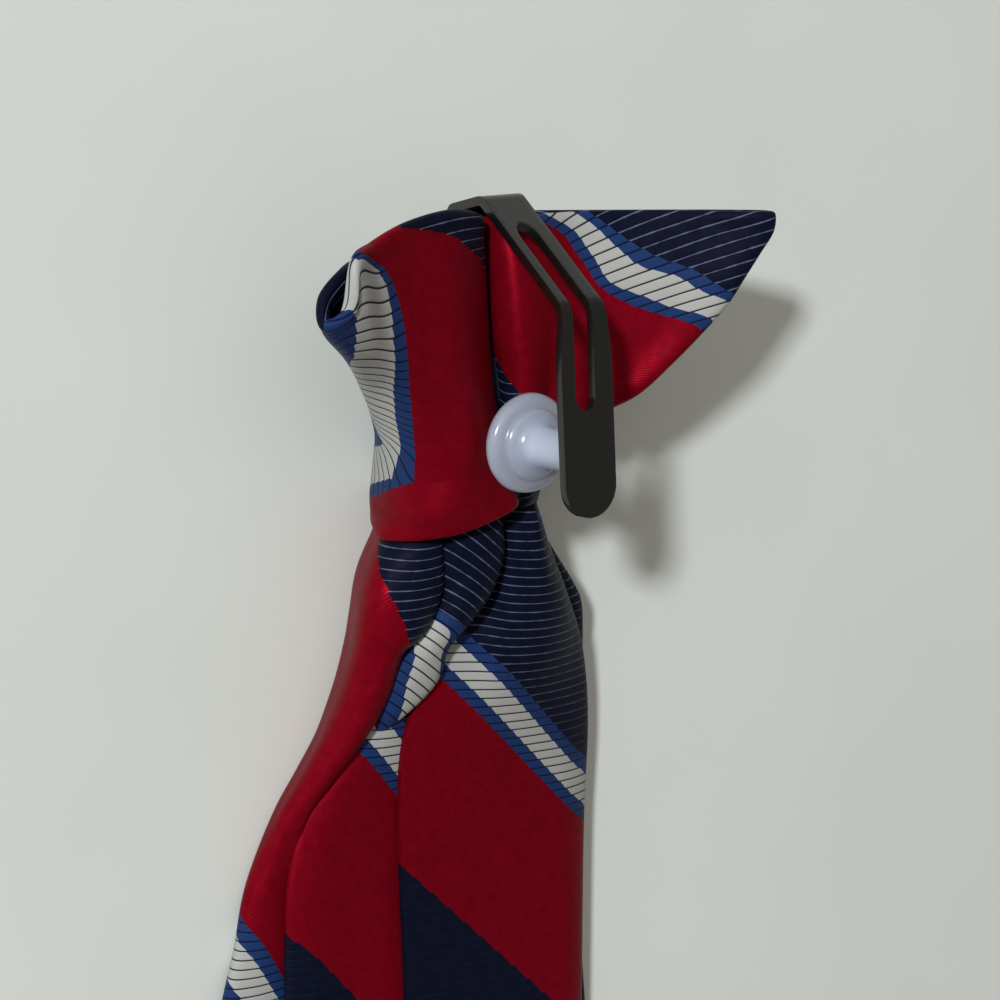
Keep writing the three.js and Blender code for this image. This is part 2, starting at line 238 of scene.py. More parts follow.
def wovenStripes():
    group, given, made = newGroup(
        "wovenStripes",
        [("Cloth", "NodeSocketVector")],
        [("Colour", "NodeSocketColor"), ("Roughness", "NodeSocketFloat"), ("Satin", "NodeSocketFloat"),
         ("Height", "NodeSocketFloat")],
    )
    split = group.nodes.new("ShaderNodeSeparateXYZ")
    group.links.new(given.outputs["Cloth"], split.inputs[0])
    stripe = mathNode(group, "MULTIPLY", split.outputs["X"], 1 / uvPerMillimetre)
    rib = mathNode(group, "MULTIPLY", split.outputs["Y"], 1 / uvPerMillimetre)

    # The bands' edges step from rib to rib, and the red's and navy's edge steps at every second rib
    pitch = cloth["ribPitch"]
    ribShare = mathNode(group, "FRACT", mathNode(group, "DIVIDE", rib, pitch))
    stepShare = mathNode(group, "FRACT", mathNode(group, "DIVIDE", rib, 2 * pitch))
    fineStep = mathNode(group, "MULTIPLY", mathNode(group, "SUBTRACT", ribShare, 0.5), 0.12 * pitch)
    wideStep = mathNode(group, "MULTIPLY", mathNode(group, "SUBTRACT", stepShare, 0.5), 0.2 * pitch)

    def banded(step):
        moved = mathNode(group, "DIVIDE", mathNode(group, "SUBTRACT", stripe, step), stripeRepeat)
        return mathNode(group, "MULTIPLY", mathNode(group, "FRACT", moved), stripeRepeat)

    fine = banded(fineStep)
    wide = banded(wideStep)
    first = cloth["blueBand"]
    second = first + cloth["whiteBand"]
    third = second + cloth["blueBand"]
    fourth = third + cloth["redBand"]
    inStripes = mathNode(group, "LESS_THAN", fine, third)
    inWhite = mathNode(group, "MULTIPLY", mathNode(group, "GREATER_THAN", fine, first),
                       mathNode(group, "LESS_THAN", fine, second))
    inRed = mathNode(group, "MULTIPLY", mathNode(group, "GREATER_THAN", fine, third),
                     mathNode(group, "LESS_THAN", wide, fourth))
    inRed = mathNode(group, "MULTIPLY", inRed, mathNode(group, "GREATER_THAN", wide, first))

    grain, red = speckles(group, 900.0, cloth["redColours"])
    grain.node.inputs["Detail"].default_value = 3.0

    # Thin lines between the ribs: dark in the stripes, and light in the navy, where they are a painted
    # highlight on the ribs
    fromLine = mathNode(group, "ABSOLUTE", mathNode(group, "SUBTRACT", ribShare, 0.5))
    line = ramp(group, fromLine, 0.40, 0.445)
    uneven = mathNode(group, "MULTIPLY_ADD", grain, 0.12, fromLine)
    thinHighlight = ramp(group, uneven, 0.475, 0.56)

    # The navy's painted rib highlights fade on the flat run, away from the knot, as painted shade where the
    # shade falls
    flatRun = (tie["topBend"] - cloth["highlightFadeAt"]) * millimetre
    nearKnot = ramp(group, ownSpace(group)["Y"], flatRun, flatRun + cloth["highlightFadeOver"] * millimetre)
    highlightShare = mathNode(group, "MULTIPLY", thinHighlight, mathNode(group, "MULTIPLY_ADD", nearKnot, 0.6, 0.02))

    def mixed(share, name):
        plain, other = cloth[name]
        return mixColour(group, share, linear(*plain), linear(*other))

    # The painted rib highlight is mixed into the navy here
    navy = mixColour(group, highlightShare, mixed(grain, "navyColours"), linear(*cloth["navyRibHighlight"]))
    blue = mixed(mathNode(group, "MULTIPLY", line, 0.8), "blueColours")
    white = mixed(mathNode(group, "MULTIPLY", line, 0.95), "whiteColours")
    colour = mixColour(group, inWhite, blue, white)
    colour = mixColour(group, inStripes, navy, colour)
    colour = mixColour(group, inRed, colour, red)
    group.links.new(colour, made.inputs["Colour"])

    rough = mathNode(group, "MULTIPLY_ADD", inRed, -0.10, 0.50)
    group.links.new(rough, made.inputs["Roughness"])
    group.links.new(mathNode(group, "MULTIPLY_ADD", inRed, 0.34, 0.04), made.inputs["Satin"])

    # Satin has a fine diagonal twill, and the rest is ribbed
    slant = mathNode(group, "MULTIPLY_ADD", rib, cloth["twillSlant"], stripe)
    twill = mathNode(group, "SINE", mathNode(group, "MULTIPLY", slant, 2 * math.pi / cloth["twillPitch"]))
    twillHeight = mathNode(group, "MULTIPLY", twill, 0.06)
    valley = mathNode(group, "POWER", mathNode(group, "MULTIPLY", fromLine, 2.0), 6.0)
    ribHeight = mathNode(group, "SUBTRACT", 1.0, valley)
    height = group.nodes.new("ShaderNodeMix")
    group.links.new(inRed, height.inputs[0])
    group.links.new(ribHeight, height.inputs[2])
    group.links.new(twillHeight, height.inputs[3])
    withGrain = mathNode(group, "MULTIPLY_ADD", grain, 0.35, height.outputs[0])
    group.links.new(withGrain, made.inputs["Height"])
    return group


def newMaterial(name):
    made = bpy.data.materials.new(name)
    made.use_nodes = True
    shader = made.node_tree.nodes["Principled BSDF"]
    return made, made.node_tree, shader


def bumped(tree, shader, height, distance):
    bump = tree.nodes.new("ShaderNodeBump")
    bump.inputs["Distance"].default_value = distance * millimetre
    tree.links.new(height, bump.inputs["Height"])
    tree.links.new(bump.outputs["Normal"], shader.inputs["Normal"])


def clothMaterial():
    made, tree, shader = newMaterial("tieCloth")
    where = tree.nodes.new("ShaderNodeUVMap")
    where.uv_map = "cloth"
    pattern = tree.nodes.new("ShaderNodeGroup")
    pattern.node_tree = wovenStripes()
    tree.links.new(where.outputs["UV"], pattern.inputs["Cloth"])
    tree.links.new(pattern.outputs["Colour"], shader.inputs["Base Color"])
    tree.links.new(pattern.outputs["Roughness"], shader.inputs["Roughness"])
    tree.links.new(pattern.outputs["Satin"], shader.inputs["Metallic"])
    shader.inputs["Specular IOR Level"].default_value = 0.1
    shader.inputs["Specular Tint"].default_value = (0.4, 0.25, 0.3, 1.0)
    bumped(tree, shader, pattern.outputs["Height"], cloth["bump"])
    return made


def coatMaterial():
    made, tree, shader = newMaterial("blackCoat")
    grain, colour = speckles(tree, 1400.0, ((12, 12, 12), (19, 19, 19)))
    tree.links.new(colour, shader.inputs["Base Color"])
    shader.inputs["Roughness"].default_value = 0.3
    shader.inputs["Coat Weight"].default_value = 0.3
    bumped(tree, shader, grain, 0.03)
    return made


def studMaterial():
    # Milky, and paler on the hub than on the flange: the hub's paler colour is a painted highlight
    made, tree, shader = newMaterial("milkyPlastic")
    grain, clouded = speckles(tree, 260.0, ((158, 163, 182), (176, 180, 197)))
    hub = ramp(tree, ownSpace(tree)["Z"], studLow.z + 2.2 * millimetre, studLow.z + 4.0 * millimetre)
    colour = mixColour(tree, hub, clouded, linear(200, 209, 234))
    tree.links.new(colour, shader.inputs["Base Color"])
    shader.inputs["Roughness"].default_value = 0.22
    shader.inputs["Subsurface Weight"].default_value = 0.6
    shader.inputs["Subsurface Radius"].default_value = (0.004, 0.004, 0.005)
    shader.inputs["Subsurface Scale"].default_value = 1.0
    shader.inputs["Transmission Weight"].default_value = 0.25
    bumped(tree, shader, grain, 0.05)
    return made


def coreMaterial():
    made, tree, shader = newMaterial("darkLining")
    grain, colour = speckles(tree, 900.0, ((14, 18, 34), (24, 30, 52)))
    tree.links.new(colour, shader.inputs["Base Color"])
    shader.inputs["Roughness"].default_value = 0.7
    bumped(tree, shader, grain, 0.1)
    return made


tieCloth = clothMaterial()
blackCoat = coatMaterial()
milkyPlastic = studMaterial()
darkLining = coreMaterial()
print("materials made")


def rowsOf(columns, rows):
    return [dict(zip(columns, row)) for row in rows]


def blend(a, b, share):
    return a + (b - a) * share


# Knot: one sleeve whose edges meet in a crease at the back. Its left side ends in a rolled ear with an
# open mouth, and its right side in a flat ear.

knot = {
    "down": 3.0, "height": 34.7, "width": 18.8, "depth": 19.0, "centre": 1.0, "wall": 0.55,
    "rightEar": 31.5, "lift": 26.5, "rightRadius": 1.5, "rightSag": 0.7, "frontDrop": 1.4,
    "bandFold": 0.4, "footRise": 3.2, "ribTilt": 0.34, "ribShare": 0.9, "creaseRib": 2.8,
    "rowCount": 142, "columnCount": 230,
}
# The hem's rows, from the knot's edge inwards; along is a share of the way to the next section
hems = rowsOf(["inward", "along", "rib"], [[0.35, -0.05, 0.4], [0.70, 0.30, 1.2], [0.72, 0.90, 2.4]])
# Heights of the sections, as shares of the knot's height, with the right ear's shares of its reach
rightSections = rowsOf(
    ["up", "reach", "lift", "front", "back", "crown", "lip"],
    [
        [0.000, 0.00, 0.00, 0.50, 0.860, 0.87, 2.2],
        [0.035, 0.01, 0.00, 0.52, 0.880, 0.89, 2.2],
        [0.120, 0.02, 0.02, 0.52, 0.920, 0.93, 2.2],
        [0.220, 0.08, 0.12, 0.53, 0.980, 0.96, 1.6],
        [0.330, 0.20, 0.36, 0.56, 0.995, 0.98, 2.0],
        [0.430, 0.36, 0.56, 0.62, 1.000, 1.00, 2.2],
        [0.530, 0.50, 0.72, 0.70, 1.000, 1.04, 1.8],
        [0.630, 0.64, 0.84, 0.79, 1.000, 1.08, 1.1],
        [0.720, 0.75, 0.92, 0.86, 1.000, 1.10, 0.7],
        [0.800, 0.82, 0.97, 0.91, 0.995, 1.11, 0.5],
        [0.880, 0.905, 1.00, 0.94, 0.980, 1.10, 0.3],
        [0.950, 0.98, 1.02, 0.93, 0.955, 1.07, 0.1],
        [1.000, 0.98, 1.03, 0.92, 0.930, 1.03, 0.0],
    ],
)
# Stripe places at the right side's stops, from inside the crease to the front
rightStripes = [
    [27, 25, 25, 25, 25, 26, 27, 28, 29, 30, 30],
    [27, 25, 25, 25, 25, 26, 27, 28, 29, 30, 30],
    [27, 26, 25, 25, 25, 25, 26, 27, 29, 30, 30],
    [28, 27, 26, 23, 22, 22, 23, 24, 26, 29, 30],
    [28, 27, 26, 21, 18, 16, 15, 14, 17, 24, 28],
    [28, 27, 25, 19, 16, 14, 13, 12, 15, 22, 27],
    [27, 24, 20, 15, 13, 11.7, 10.9, 9.8, 12, 20, 26],
    [26, 19, 17, 13, 10.6, 8.6, 5.9, 4.8, 9, 18, 25],
    [25, 18, 16, 12, 7.3, 4.0, 1.9, 0.8, 5, 15, 24],
    [24, 17, 14, 8.9, 3.7, 1.5, -2.6, -3.6, 2, 12, 22],
    [22, 16, 13, 6.3, 1.7, -2.0, -4.5, -5.6, 0, 8, 18],
    [20, 15, 11, 4.5, -0.8, -4.6, -7, -8, -3, 4, 14],
    [18, 14, 9, 2.2, -2.6, -6.5, -9, -10, -6, 0, 10],
]
# The left side's stops in x, down and z, from inside the crease over the crown and round the ear to the
# front, at every second section from the bottom up
leftSections = [
    [(3.0, 33.2, 15.4), (3.2, 33.7, 18.0), (-3.0, 35.6, 18.0), (-6.6, 36.4, 16.2), (-8.7, 36.8, 13.6),
     (-9.3, 37.0, 11.4), (-8.9, 37.0, 9.4), (-7.8, 36.8, 7.2), (-6.6, 36.8, 5.2), (-5.2, 36.8, 3.2),
     (-3.8, 36.8, 1.6), (-1.6, 36.8, 0.6)],
    [(3.0, 30.8, 14.6), (2.2, 31.0, 17.9), (-3.8, 32.9, 18.8), (-7.2, 33.4, 17.6), (-8.8, 33.6, 14.8),
     (-9.2, 33.6, 12.2), (-8.8, 33.6, 9.8), (-8.0, 33.6, 7.2), (-6.8, 33.6, 5.2), (-5.2, 33.6, 3.2),
     (-3.8, 33.5, 1.6), (-1.6, 33.5, 0.6)],
    [(2.8, 26.0, 14.0), (1.2, 26.2, 17.6), (-4.7, 26.0, 20.6), (-7.6, 26.2, 19.2), (-9.8, 26.3, 17.0),
     (-10.3, 26.4, 14.6), (-10.0, 26.5, 12.0), (-8.8, 26.5, 9.3), (-7.4, 26.5, 7.2), (-5.8, 26.5, 5.0),
     (-3.8, 26.4, 2.4), (-1.8, 26.4, 0.7)],
    [(2.4, 19.4, 13.8), (0.2, 19.2, 17.2), (-6.3, 18.7, 21.7), (-10.2, 18.8, 21.6), (-12.6, 19.1, 20.2),
     (-14.0, 19.3, 18.4), (-14.6, 19.6, 16.6), (-14.0, 19.9, 14.4), (-12.8, 20.0, 12.4), (-11.0, 19.8, 10.0),
     (-7.4, 19.6, 5.8), (-3.0, 19.5, 1.4)],
    [(0.8, 13.2, 13.8), (-0.5, 12.6, 17.4), (-7.5, 11.8, 22.4), (-13.0, 12.0, 23.0), (-17.0, 12.8, 23.4),
     (-20.0, 13.6, 24.4), (-21.4, 14.4, 23.4), (-20.9, 14.9, 21.4), (-19.8, 14.8, 19.6), (-16.6, 14.2, 17.0),
     (-9.2, 13.8, 9.4), (-3.0, 13.6, 2.4)],
    [(0.0, 8.4, 14.2), (-1.2, 7.5, 18.0), (-8.1, 6.3, 22.6), (-14.6, 6.7, 23.6), (-19.0, 8.1, 24.8),
     (-23.0, 9.2, 27.4), (-24.6, 11.2, 26.6), (-24.7, 12.4, 24.6), (-24.1, 11.6, 22.4), (-21.0, 10.2, 20.6),
     (-10.6, 9.6, 11.3), (-2.6, 9.6, 3.4)],
    [(-1.6, 3.8, 15.0), (-2.6, 2.6, 19.4), (-8.6, 1.4, 22.8), (-15.2, 2.2, 24.0), (-20.1, 3.6, 25.4),
     (-24.2, 4.6, 28.4), (-24.6, 9.3, 28.2), (-26.6, 10.8, 26.0), (-25.8, 8.4, 24.4), (-22.6, 5.9, 23.6),
     (-11.0, 6.8, 12.4), (-2.2, 6.6, 4.0)],
]
# Where the bands' edges cross each section, counted in the left side's stops
leftBands = rowsOf(
    ["navy", "red", "blue", "white", "inner"],
    [
        [1.00, 12.0, 13.0, 14.0, 15.0],
        [1.00, 12.0, 13.0, 14.0, 15.0],
        [1.00, 7.00, 9.00, 11.0, 12.0],
        [1.00, 3.80, 5.00, 10.0, 11.5],
        [1.00, 3.85, 4.50, 5.60, 10.0],
        [1.00, 3.90, 4.70, 7.30, 9.00],
        [1.00, 3.90, 4.60, 7.20, 9.00],
        [1.00, 3.70, 4.20, 7.60, 9.00],
        [1.00, 3.50, 3.90, 5.90, 8.50],
        [1.00, 3.50, 3.80, 5.50, 7.60],
        [1.35, 3.60, 3.80, 5.40, 7.20],
        [2.05, 3.85, 4.05, 5.65, 7.00],
        [3.20, 4.70, 4.95, 6.00, 6.90],
    ],
)
# Rib places at each section, and what each of the left side's stops adds to them
ribRows = [33.8, 32.6, 29.6, 26.0, 21.5, 16.6, 12.7, 9.3, 6.9, 4.9, 3.2, 1.6, 0.0]
plainTurn = [0, 0, -0.6, -0.5, 0.2, 1.4, 2.2, 2.6, 3.0, 3.0, 3.0, 3.0]
ribTurns = {
    2: [0, 0, -1.8, -4.0, -3.6, -3.0, -1.2, 0.6, 2.4, 4.0, 5.0, 6.0],
    3: [0, 0, -1.8, -3.0, -2.4, -0.8, 1.2, 3.2, 5.0, 6.0, 7.0, 8.0],
    4: [0, 0, -1.8, -2.0, 0.2, 1.8, 3.6, 5.4, 7.0, 8.0, 9.0, 9.0],
}


# The right side's stops in x from the knot's centre and z, from the crease round the ear

def rightSide(row):
    half = knot["width"] / 2
    floor = knot["wall"] / 2
    middle = knot["depth"] / 2
    opened = min(1, 1.6 * row["reach"])
    roundness = blend(0.5 * middle, knot["rightRadius"], opened)
    side = blend(half, knot["rightEar"] - knot["centre"], row["reach"]) - floor
    lift = blend(middle, knot["lift"], row["lift"] * min(1, 3 * row["reach"]))
    back = knot["depth"] * row["back"] - floor
    crown = knot["depth"] * row["crown"] - floor
    shoulder = (side - blend(0.35, 0.55, opened) * roundness, lift + roundness)
    lip = row["lip"] - knot["centre"]
    return [
        (lip + 0.9, back - 3.6), (lip + 0.2, back - 0.6), (lip + 1.3, back + 0.2 + 1.3 * opened),
        (blend(lip + 1.4, 0.5 * side, 0.6), blend(back, crown, 0.45) - 0.3),
        (0.5 * side, crown), (0.75 * side, blend(crown, shoulder[1], 0.5)), shoulder,
        (side, lift), (side - blend(0.3, 0.75, opened) * roundness, lift - roundness),
        (half * row["front"], blend(0.08, 0.2, opened) * knot["depth"] + floor),
        (0.6 * half * row["front"], floor),
    ]


# A row of the hem, inside the knot's wall between its edge section and the second one

def turnedIn(edge, second, hem, ribSign):
    edge, second = np.array(edge), np.array(second)
    row = edge + hem["along"] * (second - edge)
    ahead = np.roll(edge, -1, axis=0) - np.roll(edge, 1, axis=0)
    ahead[0], ahead[-1] = edge[1] - edge[0], edge[-1] - edge[-2]
    inward = np.cross(ahead[:, :3], ribSign * (second - edge)[:, :3])
    inward /= np.linalg.norm(inward, axis=1)[:, None]
    row[:, :3] += hem["inward"] * inward
    row[:, 4] = edge[:, 4] - ribSign * hem["rib"]
    return row


def knotControl():
    left = through(np.array(leftSections, float), np.linspace(0, len(leftSections) - 1, len(rightSections)))
    # The red band round the foot is folded in at the third section's crown
    left[3, 2:4, 2] -= knot["bandFold"]
    grid = []
    for index, row in enumerate(rightSections):
        turn = ribTurns.get(index, plainTurn)
        crease = knot["creaseRib"] * (len(rightSections) - 1 - index)
        ribs = [blend(crease, ribRows[index], min(1, i / 4)) + added for i, added in enumerate(turn)]
        line = [(*left[index, i], 0.0, rib) for i, rib in enumerate(ribs)]
        stops = list(zip(rightSide(row), rightStripes[index]))
        for (x, z), stripe in reversed(stops):
            across = x + knot["centre"]
            sag = knot["rightSag"] * max(0, x / knot["rightEar"]) ** 1.4
            sag += knot["frontDrop"] * max(0, 1 - z / knot["depth"])
            down = knot["down"] + knot["height"] * (1 - row["up"]) + sag * row["up"] ** 2
            down -= knot["footRise"] * (1 - row["up"]) ** 6
            rib = knot["ribShare"] * (down + knot["ribTilt"] * across)
            line.append((across, down, z, stripe, rib))
        grid.append(line)
    below = [turnedIn(grid[0], grid[1], hem, -1) for hem in reversed(hems)]
    above = [turnedIn(grid[-1], grid[-2], hem, 1) for hem in hems]
    return np.array([*below, *grid, *above])


def leftStripe(sectionPlace, stop):
    names = ["navy", "red", "blue", "white", "inner"]
    places = range(len(leftBands))
    edges = [np.interp(sectionPlace, places, [row[name] for row in leftBands]) for name in names]
    blue, white = cloth["blueBand"], cloth["whiteBand"]
    bands = [2 * blue + white + cloth["redBand"], 2 * blue + white, blue + white, blue, 0.0]
    reach = [0.0, *edges, edges[-1] + 6]
    return np.interp(stop, reach, [bands[0] + 3 * edges[0], *bands, -14.0])


def knotGrid():
    grid = surface(knotControl(), knot["rowCount"], knot["columnCount"])
    leftStops = len(leftSections[0])
    sections = np.linspace(0, len(rightSections) + 2 * len(hems) - 1, len(grid)) - len(hems)
    stops = np.linspace(0, leftStops + len(rightStripes[0]) - 1, grid.shape[1])
    for line, section in zip(grid, sections):
        for point, stop in zip(line, stops):
            if stop <= leftStops - 1:
                point[3] = leftStripe(section, stop)
    return grid


knotSleeve = clothPiece("knot_sleeve", knotGrid(), ["knot_wrap"], knot["wall"])
print("knot made")


# Blade: rows of places across it, from its tucked flap round the left wing to the right fold

blade = {
    "stripeStarts": (21.0, 24.1), "startDowns": (42, 75), "stripeFrom": 47.5, "stripeAlong": 0.52,
    "stripeAcross": 0.75, "straightBefore": 42.0, "edgeInset": 0.5, "rowCount": 240, "columnCount": 120,
}
bladeRows = rowsOf(
    ["down", "inX", "inZ", "crestX", "crestZ", "sideX", "sideZ", "outX", "outZ", "footX", "footZ", "rightX",
     "rightZ", "foldX", "foldZ", "backX", "backZ"],
    [
        [33.0, -3.4, 12.0, -5.4, 12.2, -6.6, 10.4, -5.8, 7.6, -3.4, 4.0, 5.0, 3.4, 9.0, 6.5, 6.0, 9.0],
        [36.0, -3.8, 13.0, -6.2, 13.2, -7.6, 11.0, -6.4, 7.2, -3.4, 3.0, 6.4, 2.8, 11.4, 7.0, 8.0, 9.4],
        [38.6, -4.5, 13.9, -7.4, 14.0, -9.2, 11.4, -7.4, 7.0, -3.8, 2.0, 8.0, 2.0, 13.4, 7.6, 10.0, 9.4],
        [42.5, -4.2, 13.6, -7.8, 14.0, -10.8, 12.0, -9.2, 6.8, -5.2, 1.4, 12.0, 1.6, 16.0, 7.4, 13.0, 8.8],
        [47.5, -5.4, 12.6, -8.6, 13.4, -11.6, 11.2, -9.8, 6.2, -6.0, 1.0, 16.0, 1.0, 19.8, 6.8, 16.0, 7.8],
        [50.0, -8.0, 11.6, -9.8, 12.2, -11.6, 10.2, -10.0, 5.8, -6.5, 0.9, 17.5, 0.8, 21.6, 6.0, 17.5, 6.8],
        [54.5, -9.0, 10.4, -10.8, 10.8, -12.2, 8.8, -11.0, 5.2, -7.8, 0.8, 19.0, 0.7, 23.0, 4.6, 18.5, 5.4],
        [58.0, -10.3, 9.4, -12.0, 9.6, -13.2, 7.6, -12.0, 4.4, -9.2, 0.7, 19.5, 0.6, 23.7, 3.6, 19.0, 4.4],
        [61.0, -11.9, 8.3, -13.2, 8.4, -14.4, 6.6, -13.2, 3.9, -10.6, 0.6, 20.0, 0.6, 23.9, 2.6, 19.5, 3.6],
        [65.0, -14.0, 6.4, -15.2, 6.6, -16.2, 5.3, -15.4, 3.2, -13.4, 0.5, 20.0, 0.5, 24.2, 2.0, 19.5, 3.0],
        [69.0, -15.9, 4.8, -16.9, 5.0, -18.2, 4.1, -17.8, 2.6, -16.4, 0.5, 20.0, 0.5, 24.5, 1.6, 19.0, 2.6],
        [77.0, -14.0, 2.9, -17.6, 3.1, -20.2, 3.0, -21.3, 1.8, -20.4, 0.5, 20.0, 0.5, 24.7, 1.5, 18.0, 2.5],
        [84.0, -9.0, 2.6, -16.6, 2.7, -21.0, 2.6, -22.9, 1.6, -22.0, 0.5, 20.0, 0.5, 24.9, 1.5, 16.0, 2.5],
        [92.0, -4.0, 2.4, -14.6, 2.4, -22.2, 2.4, -24.9, 1.5, -24.3, 0.5, 20.0, 0.5, 25.4, 1.5, 12.0, 2.4],
    ],
)


def bladeEnd():
    # The flat run, whose half widths follow shares of the way to the shoulder, and then the point
    tip = tie["bladeTip"]
    shoulder = tip - tie["bladeHalf"]
    widest = tie["bladeHalf"] - blade["edgeInset"]
    heights = {
        "inZ": 2.3, "crestZ": 2.4, "sideZ": 2.2, "outZ": 1.4, "footZ": 0.5, "rightZ": 0.5, "foldZ": 1.4,
        "backZ": 2.3,
    }
    rows = []
    for share, width in ((0.12, 28.2), (0.35, 31.0), (0.6, 33.2), (0.85, 35.2), (1.0, widest)):
        rows.append(heights | {
            "down": blend(bladeRows[-1]["down"], shoulder, share), "inX": -0.4, "crestX": -0.4 * width,
            "sideX": -0.9 * width, "outX": -width, "footX": 0.8 - width, "rightX": width - 2.0,
            "foldX": width, "backX": 0.4,
        })
    for share in (0.3, 0.6, 0.85, 0.985):
        width = widest * (1 - share)
        rows.append(heights | {
            "down": blend(shoulder, tip, share), "inX": -0.4 * width - 0.2, "crestX": -0.6 * width,
            "sideX": -0.9 * width, "outX": -width, "footX": -0.95 * width, "rightX": 0.9 * width,
            "foldX": width, "backX": 0.4 * width + 0.2,
        })
    return rows


def bladeControl():
    grid = []
    for row in bladeRows + bladeEnd():
        down = row["down"]
        front = min(0.6, row["footZ"])
        stops = [
            (row["inX"] + 1.2, row["inZ"] - 1.0), (row["inX"], row["inZ"]), (row["crestX"], row["crestZ"]),
            (row["sideX"], row["sideZ"]), (row["outX"], row["outZ"]), (row["footX"], row["footZ"]),
            (blend(row["footX"], row["rightX"], 0.5), front), (row["rightX"], row["rightZ"]),
            (row["foldX"], row["foldZ"]), (row["backX"], row["backZ"]),
        ]
        # The stripes are measured round the cloth from the left wing's side, the fourth stop
        travelled = np.cumsum([0.0] + [math.dist(a, b) for a, b in zip(stops, stops[1:])])
        start = np.interp(down, blade["startDowns"], blade["stripeStarts"])
        start -= blade["stripeAlong"] * (down - blade["stripeFrom"])
        stripes = start - blade["stripeAcross"] * (travelled - travelled[3])
        grid.append([(x, down, z, stripe, down) for (x, z), stripe in zip(stops, stripes)])
    return grid


def bladeGrid():
    # Near the point the stripes run on as straight as above it, on the front and on both flaps
    grid = surface(bladeControl(), blade["rowCount"], blade["columnCount"])
    grid[..., 2] = np.maximum(grid[..., 2], cloth["wall"] / 2)
    stop = np.linspace(0, 9, blade["columnCount"])
    level = tie["bladeTip"] - tie["bladeHalf"] - blade["straightBefore"]
    straight = [line for line in grid if line[0, 1] < level][-1].copy()
    for line in grid:
        if line[0, 1] < level:
            continue
        for part in (stop <= 4, (stop > 4) & (stop < 8), stop >= 8):
            order = np.argsort(straight[part, 0])
            stripe = np.interp(line[part, 0], straight[part, 0][order], straight[part, 3][order])
            line[part, 3] = stripe - blade["stripeAlong"] * (line[part, 1] - straight[part, 1])
    return grid


bladeSheet = clothPiece("blade_sleeve", bladeGrid(), ["blade"], cloth["wall"])
print("blade made")


# Tail: the right flap with its bulge, the left flap under it, and the roll gathered over both

tail = {
    "rightStripe": 0.725, "rightStart": -34.1, "leftStripe": 0.64, "leftSlope": 1.2, "leftStart": -41.5,
    "rightRib": 0.12, "leftRib": 0.1, "underShift": 4, "rollWall": 0.7, "rollRibDown": 0.75,
    "rollRibAcross": 0.62,
}
rightRows = rowsOf(
    ["down", "seamX", "seamZ", "dipX", "dipZ", "riseX", "riseZ", "topX", "topZ", "slopeX", "slopeZ", "edgeX",
     "edgeZ", "underX", "underZ"],
    [
        [33.0, 0.6, 9.0, 4.2, 10.0, 5.4, 13.0, 7.6, 14.2, 8.8, 12.4, 9.4, 10.4, 7.0, 7.4],
        [37.0, 0.4, 8.6, 4.6, 10.4, 5.8, 13.8, 8.2, 14.6, 10.0, 13.0, 11.0, 10.8, 8.6, 7.0],
        [42.0, 0.0, 8.4, 5.0, 9.8, 6.6, 13.2, 9.4, 14.2, 12.0, 12.4, 13.6, 9.8, 11.0, 6.4],
        [47.5, -0.4, 8.4, 4.9, 9.4, 7.2, 12.2, 11.2, 12.8, 15.0, 11.2, 17.0, 8.4, 14.0, 5.4],
        [53.6, -1.4, 8.4, 4.0, 9.4, 7.8, 10.8, 12.6, 10.9, 17.8, 9.0, 20.6, 6.8, 17.0, 4.6],
        [59.6, -4.4, 8.0, 2.0, 8.8, 7.8, 9.2, 13.4, 8.9, 19.2, 7.4, 22.7, 5.6, 18.6, 4.0],
        [66.0, -5.0, 7.4, 1.4, 7.9, 7.6, 8.0, 13.6, 7.7, 19.8, 6.7, 23.6, 4.9, 19.0, 3.6],
        [76.0, -4.6, 6.8, 1.6, 7.0, 8.0, 7.0, 14.0, 6.8, 20.0, 6.2, 23.4, 4.6, 19.0, 3.5],
        [93.0, -3.6, 6.2, 2.4, 6.3, 9.0, 6.3, 15.0, 6.2, 20.6, 5.9, 23.3, 4.5, 19.0, 3.4],
    ],
)
leftRows = rowsOf(
    ["down", "hideX", "hideZ", "nearX", "nearZ", "midX", "midZ", "sideX", "sideZ", "foldX", "foldZ", "underX",
     "underZ"],
    [
        [46.0, 1.0, 7.6, -1.0, 8.0, -2.6, 8.0, -4.0, 7.4, -5.0, 6.0, -3.0, 4.0],
        [52.0, 1.0, 7.4, -2.0, 7.9, -4.4, 8.0, -6.4, 7.2, -7.6, 5.4, -5.0, 3.8],
        [57.5, 0.6, 7.0, -3.2, 7.4, -6.2, 7.6, -8.4, 7.0, -9.6, 5.0, -7.0, 3.6],
        [63.0, 0.4, 6.6, -4.0, 6.8, -8.0, 7.0, -11.0, 6.4, -12.6, 4.6, -9.6, 3.5],
        [68.4, 0.4, 6.0, -4.6, 6.1, -9.6, 6.2, -13.6, 5.8, -15.6, 4.4, -12.4, 3.4],
        [76.0, 0.6, 5.4, -4.8, 5.4, -10.4, 5.4, -15.0, 5.2, -17.5, 4.1, -13.0, 3.4],
        [84.0, 0.8, 5.0, -4.6, 5.0, -10.4, 5.0, -15.4, 4.9, -17.9, 4.0, -13.0, 3.4],
        [93.0, 1.0, 4.9, -4.4, 4.9, -10.4, 4.9, -15.6, 4.8, -18.1, 4.0, -13.0, 3.4],
    ],
)
